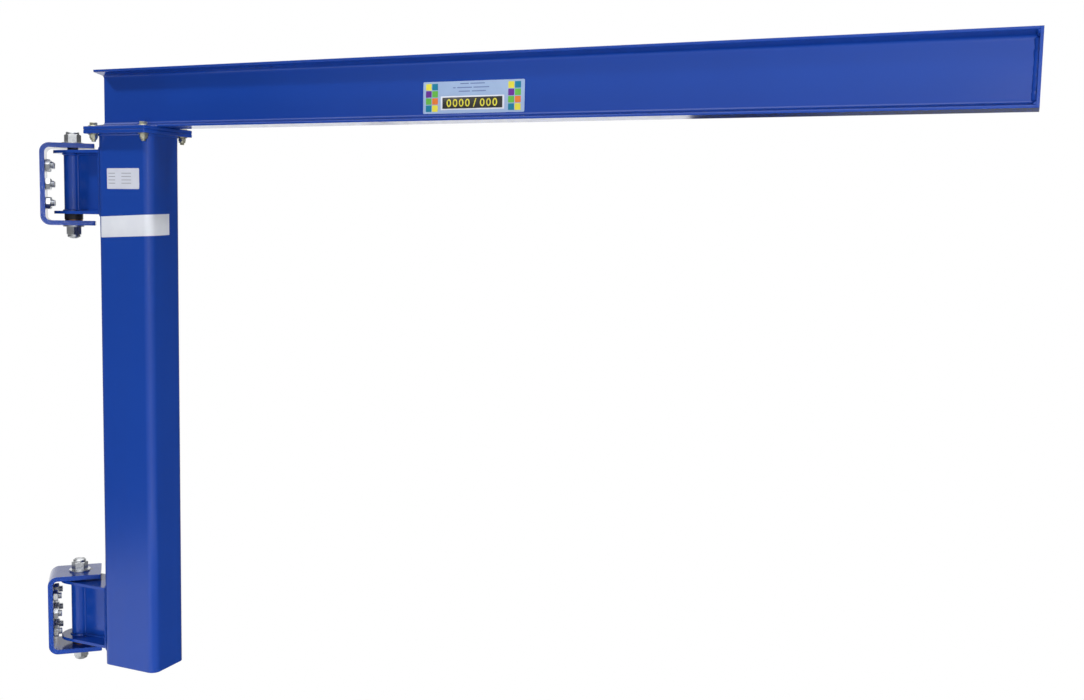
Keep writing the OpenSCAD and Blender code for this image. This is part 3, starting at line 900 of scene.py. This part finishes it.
def shown_directly(tree):
    """1 for rays that show the background: from the camera, a reflection or a transmission."""
    path = tree.nodes.new("ShaderNodeLightPath")
    seen = math_node(tree, "MAXIMUM", path.outputs["Is Camera Ray"], path.outputs["Is Glossy Ray"])
    return math_node(tree, "MAXIMUM", seen, path.outputs["Is Transmission Ray"])


def world_light():
    """White where it is seen, and a softer fill for everything that it lights."""
    world = bpy.data.worlds.new("studio")
    bpy.context.scene.world = world
    world.use_nodes = True
    tree = world.node_tree
    seen = tree.nodes["Background"]
    lit = add_node(tree, "ShaderNodeBackground", strength=WORLD_FILL)
    for background in (seen, lit):
        background.inputs["Color"].default_value = grey(1)
    both = mixed(tree, shown_directly(tree), lit.outputs["Background"], seen.outputs["Background"])
    tree.links.new(both, tree.nodes["World Output"].inputs["Surface"])


# how far the floor lies below the crane, its radius, its sides and its tone
FLOOR_DROP, FLOOR_RADIUS, FLOOR_SIDES, FLOOR_TONE = 0.55, 9.0, 96, 0.70
# distances from its middle between which it passes into white, and how white it is before them
FADE_START, FADE_END, FADE_FIRST = 0.4, 1.6, 0.7


def floor_material():
    """Matt white that turns into the background's white away from the middle, and is clear from below."""
    material, tree, shader = new_material("floor_white")
    shader.inputs["Base Color"].default_value = grey(FLOOR_TONE)
    shader.inputs["Roughness"].default_value = 0.9
    shader.inputs["Specular IOR Level"].default_value = 0.0
    where = tree.nodes.new("ShaderNodeTexCoord")
    length = add_node(tree, "ShaderNodeVectorMath", operation="LENGTH")
    tree.links.new(where.outputs["Object"], length.inputs[0])
    spread = add_node(tree, "ShaderNodeMapRange", interpolation_type="SMOOTHSTEP", from_min=FADE_START,
                      from_max=FADE_END, to_min=FADE_FIRST)
    tree.links.new(length.outputs["Value"], spread.inputs["Value"])
    share = math_node(tree, "MULTIPLY", spread.outputs["Result"], shown_directly(tree))
    glow = add_node(tree, "ShaderNodeEmission", strength=1.0, color=grey(1))
    upper = mixed(tree, share, shader.outputs["BSDF"], glow.outputs["Emission"])
    side = tree.nodes.new("ShaderNodeNewGeometry")
    open_side = tree.nodes.new("ShaderNodeBsdfTransparent")
    one_sided = mixed(tree, side.outputs["Backfacing"], upper, open_side.outputs["BSDF"])
    tree.links.new(one_sided, tree.nodes["Material Output"].inputs["Surface"])
    return material


def floor():
    """Pale round floor below the crane. It keeps the shadow, passes into the white background at its rim and
    has one side only, so it hides nothing from below."""
    low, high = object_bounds()
    turns = np.arange(FLOOR_SIDES) * 2 * math.pi / FLOOR_SIDES
    rim = [(FLOOR_RADIUS * math.cos(turn), FLOOR_RADIUS * math.sin(turn), 0) for turn in turns]
    mesh = bpy.data.meshes.new("floor")
    mesh.from_pydata(rim, [], [list(range(FLOOR_SIDES))])
    mesh.materials.append(floor_material())
    ground = bpy.data.objects.new("floor", mesh)
    ground.location = ((low.x + high.x) / 2, (low.y + high.y) / 2, low.z - FLOOR_DROP)
    bpy.context.scene.collection.objects.link(ground)
    ground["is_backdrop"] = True


def mirrored_only(name, points, faces, material):
    """Stage piece that nothing but a reflection shows."""
    mesh = bpy.data.meshes.new(name)
    mesh.from_pydata(points, [], faces)
    mesh.materials.append(material)
    piece = bpy.data.objects.new(name, mesh)
    for rays in ("camera", "diffuse", "transmission", "shadow", "volume_scatter"):
        setattr(piece, "visible_" + rays, False)
    bpy.context.scene.collection.objects.link(piece)
    piece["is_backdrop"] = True


# the wall's glow by direction, from straight behind the crane, past the camera's side in the middle, and
# back; it paints the reflections that the paint and metal show
WALL_TONES = ((0.0, 0.13), (0.13, 0.03), (0.17, 0.03), (0.22, 0.12), (0.35, 0.30), (0.44, 0.60), (0.50, 1.05),
              (0.545, 0.66), (0.585, 0.54), (0.65, 0.34), (0.69, 0.09), (0.75, 0.15), (1.0, 0.15))
# its middle, the directions in degrees between which it stands, and its top
WALL_CENTRE, WALL_FROM, WALL_TO, WALL_TOP = Vector((-0.9, -0.3)), -100, 260, 3.2
# the wall's radius by direction in degrees, far enough out behind the crane for the boom to swing inside it
WALL_TURNS, WALL_RADII = (-60, -41, 25, 40), (3.0, 4.65, 4.65, 3.0)
BACKDROP_RADIUS, BACKDROP_START, BACKDROP_END, BACKDROP_TOP = 4.6, -40.0, 24.5, 1.55
# where the wall's glow pales towards the floor: up to which height, how steeply and by how much
FOOT_HEIGHT, FOOT_POWER, FOOT_TONE = 0.62, 4, 0.8
# how brightly the backdrop, the ceiling, the upright card and the card above the floor glow; the ceiling
# paints highlights and the two cards paint darker reflections
BACKDROP_TONE, CEILING_TONE, CARD_TONE, FLOOR_CARD_TONE = 1.2, 2.4, 0.10, 0.35
# corner and size of the ceiling and of the card just above the floor, and the upright card's half width, y
# and top
CEILING_CORNER, CEILING_SIZE = (-3.0, -2.8, 3.15), (4.0, 4.5)
FLOOR_CARD_CORNER, FLOOR_CARD_SIZE, FLOOR_CARD_LIFT = (-3.6, -3.0), (4.4, 4.0), 0.01
CARD_HALF, CARD_Y, CARD_TOP = 0.65, -1.04, 1.2


def wall_strip(radius, start, end, low, high):
    """Points and faces of part of an upright round wall, between two directions in degrees. radius gives the
    wall's radius in a direction."""
    points = []
    for turn in np.linspace(start, end, 2 + int((end - start) / 4)):
        x = WALL_CENTRE.x + radius(turn) * math.cos(math.radians(turn))
        y = WALL_CENTRE.y + radius(turn) * math.sin(math.radians(turn))
        points += [(x, y, low), (x, y, high)]
    return points, [(i, i + 1, i + 3, i + 2) for i in range(0, len(points) - 2, 2)]


def flat_card(corner, size):
    """Points and the face of a level card."""
    x, y, z = corner
    far_x, far_y = x + size[0], y + size[1]
    return [(x, y, z), (far_x, y, z), (far_x, far_y, z), (x, far_y, z)], [(0, 1, 2, 3)]


def plain_glow(name, tone):
    """Material that only glows, evenly."""
    material, _, shader = new_material(name)
    shader.inputs["Base Color"].default_value = grey(0)
    shader.inputs["Specular IOR Level"].default_value = 0.0
    shader.inputs["Emission Color"].default_value = grey(1)
    shader.inputs["Emission Strength"].default_value = tone
    return material


def wall_material(floor_z):
    """Grey glow that follows WALL_TONES round the wall and pales towards the floor: a painted reflection of a
    lit studio, which lights nothing.
    """
    material, tree, shader = new_material("reflection_glow_grey")
    where = tree.nodes.new("ShaderNodeTexCoord")
    parts = tree.nodes.new("ShaderNodeSeparateXYZ")
    tree.links.new(where.outputs["Object"], parts.inputs["Vector"])
    turn = math_node(tree, "ARCTAN2", parts.outputs["Y"], math_node(tree, "MULTIPLY", parts.outputs["X"], -1))
    share = math_node(tree, "MULTIPLY_ADD", turn, 0.5 / math.pi, 0.5)
    tones = ramp(tree, share, *[grey(tone) for _, tone in WALL_TONES], at=[at for at, _ in WALL_TONES])
    rise = math_node(tree, "SUBTRACT", parts.outputs["Z"], floor_z)
    foot = tree.nodes.new("ShaderNodeClamp")
    tree.links.new(math_node(tree, "MULTIPLY_ADD", rise, -1 / FOOT_HEIGHT, 1), foot.inputs["Value"])
    steep = math_node(tree, "POWER", foot.outputs["Result"], FOOT_POWER)
    paler = math_node(tree, "MULTIPLY", steep, FOOT_TONE)
    total = add_node(tree, "ShaderNodeVectorMath", operation="ADD")
    tree.links.new(tones, total.inputs[0])
    tree.links.new(paler, total.inputs[1])
    glow = tree.nodes.new("ShaderNodeEmission")
    tree.links.new(total.outputs["Vector"], glow.inputs["Color"])
    tree.links.new(glow.outputs["Emission"], tree.nodes["Material Output"].inputs["Surface"])
    tree.nodes.remove(shader)
    return material


def studio_walls():
    """Round grey wall with a white backdrop and a bright ceiling, and two dark cards. They glow and light
    nothing,
    and only reflections show them: they paint the reflections and highlights in the paint and metal."""
    floor_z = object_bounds()[0].z - FLOOR_DROP
    around = wall_strip(lambda turn: np.interp(turn, WALL_TURNS, WALL_RADII), WALL_FROM, WALL_TO,
                        floor_z, WALL_TOP)
    behind = wall_strip(lambda turn: BACKDROP_RADIUS, BACKDROP_START, BACKDROP_END, floor_z, BACKDROP_TOP)
    ceiling = flat_card(CEILING_CORNER, CEILING_SIZE)
    card = [(-CARD_HALF, CARD_Y, floor_z), (CARD_HALF, CARD_Y, floor_z),
            (CARD_HALF, CARD_Y, CARD_TOP), (-CARD_HALF, CARD_Y, CARD_TOP)]
    floor_card = flat_card((*FLOOR_CARD_CORNER, floor_z + FLOOR_CARD_LIFT), FLOOR_CARD_SIZE)
    # glowing pieces that light nothing: they paint the reflections, highlights and dark reflections in the
    # paint and metal
    mirrored_only("studio_wall", *around, wall_material(floor_z))
    mirrored_only("studio_backdrop", *behind, plain_glow("reflection_glow_white", BACKDROP_TONE))
    mirrored_only("studio_ceiling", *ceiling, plain_glow("reflection_glow_bright", CEILING_TONE))
    mirrored_only("studio_card", card, [(0, 1, 2, 3)], plain_glow("reflection_glow_dark", CARD_TONE))
    mirrored_only("studio_floor_card", *floor_card, plain_glow("reflection_glow_dim", FLOOR_CARD_TONE))


camera()
finish_cad_nodes()
weld_piece("mast_weld_beads", mast_welds())
weld_piece("boom_weld_beads", boom_welds())
for level in ("upper", "lower"):
    weld_piece(level + "_knuckle_weld_beads", knuckle_welds(level))
    wall_bolts(level)
joint_plates()
joint_bolts()
pivot_nylon()
labels()
floor()
studio_walls()
world_light()
studio_lights()
bpy.context.scene.view_settings.view_transform = "Standard"
